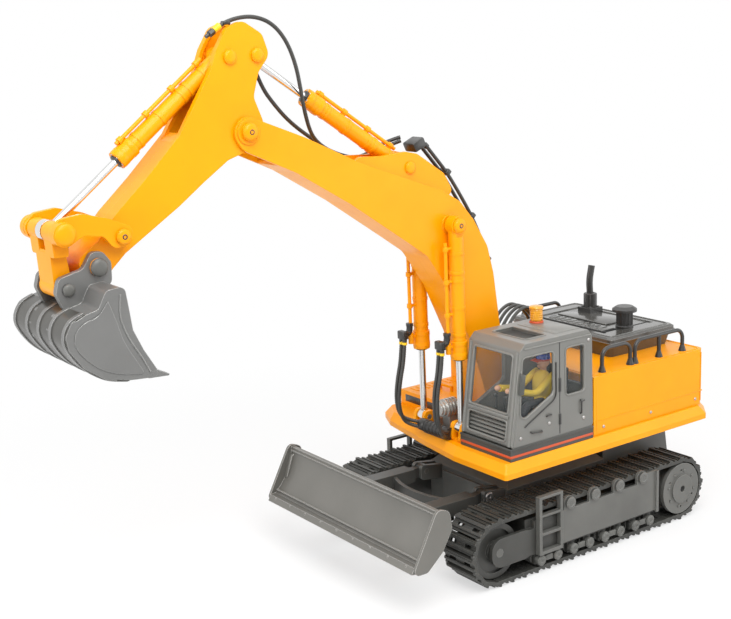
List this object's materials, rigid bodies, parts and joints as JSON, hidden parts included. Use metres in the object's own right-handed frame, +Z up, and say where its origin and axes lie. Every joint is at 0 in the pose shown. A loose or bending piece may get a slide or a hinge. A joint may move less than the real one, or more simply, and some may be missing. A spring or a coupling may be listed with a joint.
{
  "type": "toy excavator",
  "caption": "Tracked toy excavator with a turning house, hinged boom, stick and bucket on model cylinders, and a dozer blade.",
  "frame": {"origin": "middle of the bounding box in plan, on the ground under the tracks", "axes": "+X forward towards the blade and bucket, +Y to the left, the side of the cab, +Z up"},
  "size_m": [0.5042, 0.18, 0.3919],
  "materials": {
    "body_yellow": "satin",
    "cab_grey": "satin",
    "bucket_grey": "metallic satin",
    "blade_grey": "metallic satin",
    "track_black": "satin",
    "frame_dark": "satin",
    "black": "satin",
    "hood_grey": "gloss",
    "hose_black": "satin",
    "chrome": "polished",
    "steel": "brushed",
    "glass": "clear",
    "amber": "gloss",
    "seat_black": "matte",
    "figure": "matte",
    "board_green": "satin",
    "cell": "satin",
    "gear_white": "satin"
  },
  "bodies": {
    "undercarriage": {"chassis_frame": "black", "battery_box": "frame_dark", "battery_pack": "cell", "slew_ring_gear": "gear_white", "track_frame_left": "frame_dark", "track_frame_right": "frame_dark", "track_belt_left": "track_black", "track_belt_right": "track_black", "side_panel_left": "frame_dark", "side_panel_right": "frame_dark", "lower_rollers": "frame_dark", "track_gearboxes": "frame_dark", "undercarriage_pins": "steel"},
    "sprocket_left": {"sprocket_left": "track_black"},
    "sprocket_right": {"sprocket_right": "track_black"},
    "idler_left": {"idler_left": "track_black"},
    "idler_right": {"idler_right": "track_black"},
    "blade": {"blade": "blade_grey", "blade_arms": "frame_dark"},
    "house": {"deck": "body_yellow", "turntable": "black", "slew_motor": "steel", "circuit_board": "board_green", "engine_cover": "body_yellow", "engine_hood": "hood_grey", "exhaust_stack": "black", "air_filter": "black", "handrails": "black", "cab_base": "black", "cab_shell": "cab_grey", "cab_glazing": "glass", "beacon": "amber", "seat": "seat_black", "driver": "figure", "boom_bracket": "body_yellow", "house_pins": "steel", "swing_motor": "steel", "hose_block": "black", "boom_cylinder_hoses_left": "hose_black", "boom_cylinder_hoses_right": "hose_black"},
    "slew_pinion": {"slew_pinion": "gear_white"},
    "boom": {"boom_shell_left": "body_yellow", "boom_shell_right": "body_yellow", "boom_pins": "steel", "boom_hoses": "hose_black", "stick_hoses": "hose_black"},
    "boom_rod_left": {"boom_rod_left": "chrome"},
    "boom_rod_right": {"boom_rod_right": "chrome"},
    "boom_barrel_left": {"boom_barrel_left": "body_yellow"},
    "boom_barrel_right": {"boom_barrel_right": "body_yellow"},
    "stick": {"stick_shell_left": "body_yellow", "stick_shell_right": "body_yellow", "stick_pins": "steel"},
    "stick_barrel": {"stick_barrel": "body_yellow"},
    "stick_rod": {"stick_rod": "chrome"},
    "bucket_barrel": {"bucket_barrel": "body_yellow"},
    "bucket_rod": {"bucket_rod": "chrome"},
    "rocker": {"rocker_arms": "body_yellow"},
    "bucket_link": {"bucket_link": "body_yellow"},
    "bucket": {"bucket": "bucket_grey"}
  },
  "joints": [
    {"name": "slew", "type": "hinge", "parent": "undercarriage", "child": "house", "pos_m": [-0.12011, 0, 0.077], "axis": [0, 0, 1], "continuous": true},
    {"name": "pinion_spin", "type": "hinge", "parent": "house", "child": "slew_pinion", "pos_m": [-0.16161, 0, 0.06], "axis": [0, 0, 1], "continuous": true},
    {"name": "blade_lift", "type": "hinge", "parent": "undercarriage", "child": "blade", "pos_m": [-0.05451, 0, 0.0473], "axis": [0, 1, 0], "range_deg": [-10, 18]},
    {"name": "sprocket_spin_left", "type": "hinge", "parent": "undercarriage", "child": "sprocket_left", "pos_m": [-0.21311, 0.07, 0.0255], "axis": [0, 1, 0], "continuous": true},
    {"name": "idler_spin_left", "type": "hinge", "parent": "undercarriage", "child": "idler_left", "pos_m": [-0.02711, 0.07, 0.0255], "axis": [0, 1, 0], "continuous": true},
    {"name": "sprocket_spin_right", "type": "hinge", "parent": "undercarriage", "child": "sprocket_right", "pos_m": [-0.21311, -0.07, 0.0255], "axis": [0, 1, 0], "continuous": true},
    {"name": "idler_spin_right", "type": "hinge", "parent": "undercarriage", "child": "idler_right", "pos_m": [-0.02711, -0.07, 0.0255], "axis": [0, 1, 0], "continuous": true},
    {"name": "boom_lift", "type": "hinge", "parent": "house", "child": "boom", "pos_m": [-0.09211, 0, 0.104], "axis": [0, 1, 0], "range_deg": [-8, 36], "deforming": ["boom_cylinder_hoses_left", "boom_cylinder_hoses_right", "boom_hoses"]},
    {"name": "boom_cylinder_tilt_left", "type": "hinge", "parent": "house", "child": "boom_rod_left", "pos_m": [-0.04711, 0.0215, 0.096], "axis": [0, 1, 0], "range_deg": [-8.35, 37.04]},
    {"name": "boom_cylinder_stroke_left", "type": "slide", "parent": "boom_rod_left", "child": "boom_barrel_left", "axis": [0.0081, 0, 1], "range_m": [-0.0282, 0.00642]},
    {"name": "boom_cylinder_tilt_right", "type": "hinge", "parent": "house", "child": "boom_rod_right", "pos_m": [-0.04711, -0.0215, 0.096], "axis": [0, 1, 0], "range_deg": [-8.35, 37.04]},
    {"name": "boom_cylinder_stroke_right", "type": "slide", "parent": "boom_rod_right", "child": "boom_barrel_right", "axis": [0.0081, 0, 1], "range_m": [-0.0282, 0.00642]},
    {"name": "stick_swing", "type": "hinge", "parent": "boom", "child": "stick", "pos_m": [0.11199, 0, 0.3213], "axis": [0, 1, 0], "range_deg": [-20, 35], "deforming": ["stick_hoses"]},
    {"name": "stick_cylinder_tilt", "type": "hinge", "parent": "boom", "child": "stick_barrel", "pos_m": [-0.01601, 0, 0.2866], "axis": [0, 1, 0], "range_deg": [-3.15, 5.41]},
    {"name": "stick_cylinder_stroke", "type": "slide", "parent": "stick_barrel", "child": "stick_rod", "axis": [0.8235, 0, 0.5673], "range_m": [-0.01476, 0.02568]},
    {"name": "bucket_curl", "type": "hinge", "parent": "stick", "child": "bucket", "pos_m": [0.21929, 0, 0.2521], "axis": [0, 1, 0], "range_deg": [-20, 60]},
    {"name": "rocker_swing", "type": "hinge", "parent": "stick", "child": "rocker", "pos_m": [0.20399, 0, 0.2685], "axis": [0, 1, 0], "range_deg": [-9.98, 29.63]},
    {"name": "link_swing", "type": "hinge", "parent": "rocker", "child": "bucket_link", "pos_m": [0.24089, 0, 0.2745], "axis": [0, 1, 0], "range_deg": [-0.41, 0.94]},
    {"name": "bucket_cylinder_tilt", "type": "hinge", "parent": "stick", "child": "bucket_barrel", "pos_m": [0.12079, 0, 0.3672], "axis": [0, 1, 0], "range_deg": [-1.97, 5.6]},
    {"name": "bucket_cylinder_stroke", "type": "slide", "parent": "bucket_barrel", "child": "bucket_rod", "axis": [0.7916, 0, -0.611], "range_m": [-0.00418, 0.01215]}
  ],
  "couplings": [
    {"joint": "pinion_spin", "follows": "slew", "ratio": 4},
    {"joint": "idler_spin_left", "follows": "sprocket_spin_left", "ratio": 1},
    {"joint": "idler_spin_right", "follows": "sprocket_spin_right", "ratio": 1},
    {"joint": "boom_cylinder_tilt_left", "follows": "boom_lift", "ratio": 1.0247},
    {"joint": "boom_cylinder_stroke_left", "follows": "boom_lift", "m_per_rad": -0.044557},
    {"joint": "boom_cylinder_tilt_right", "follows": "boom_lift", "ratio": 1.0247},
    {"joint": "boom_cylinder_stroke_right", "follows": "boom_lift", "m_per_rad": -0.044557},
    {"joint": "stick_cylinder_tilt", "follows": "stick_swing", "ratio": 0.1502},
    {"joint": "stick_cylinder_stroke", "follows": "stick_swing", "m_per_rad": 0.04171},
    {"joint": "rocker_swing", "follows": "bucket_curl", "ratio": 0.4913},
    {"joint": "link_swing", "follows": "bucket_curl", "ratio": 0.0131},
    {"joint": "bucket_cylinder_tilt", "follows": "bucket_curl", "ratio": 0.0909},
    {"joint": "bucket_cylinder_stroke", "follows": "bucket_curl", "m_per_rad": 0.011413}
  ]
}
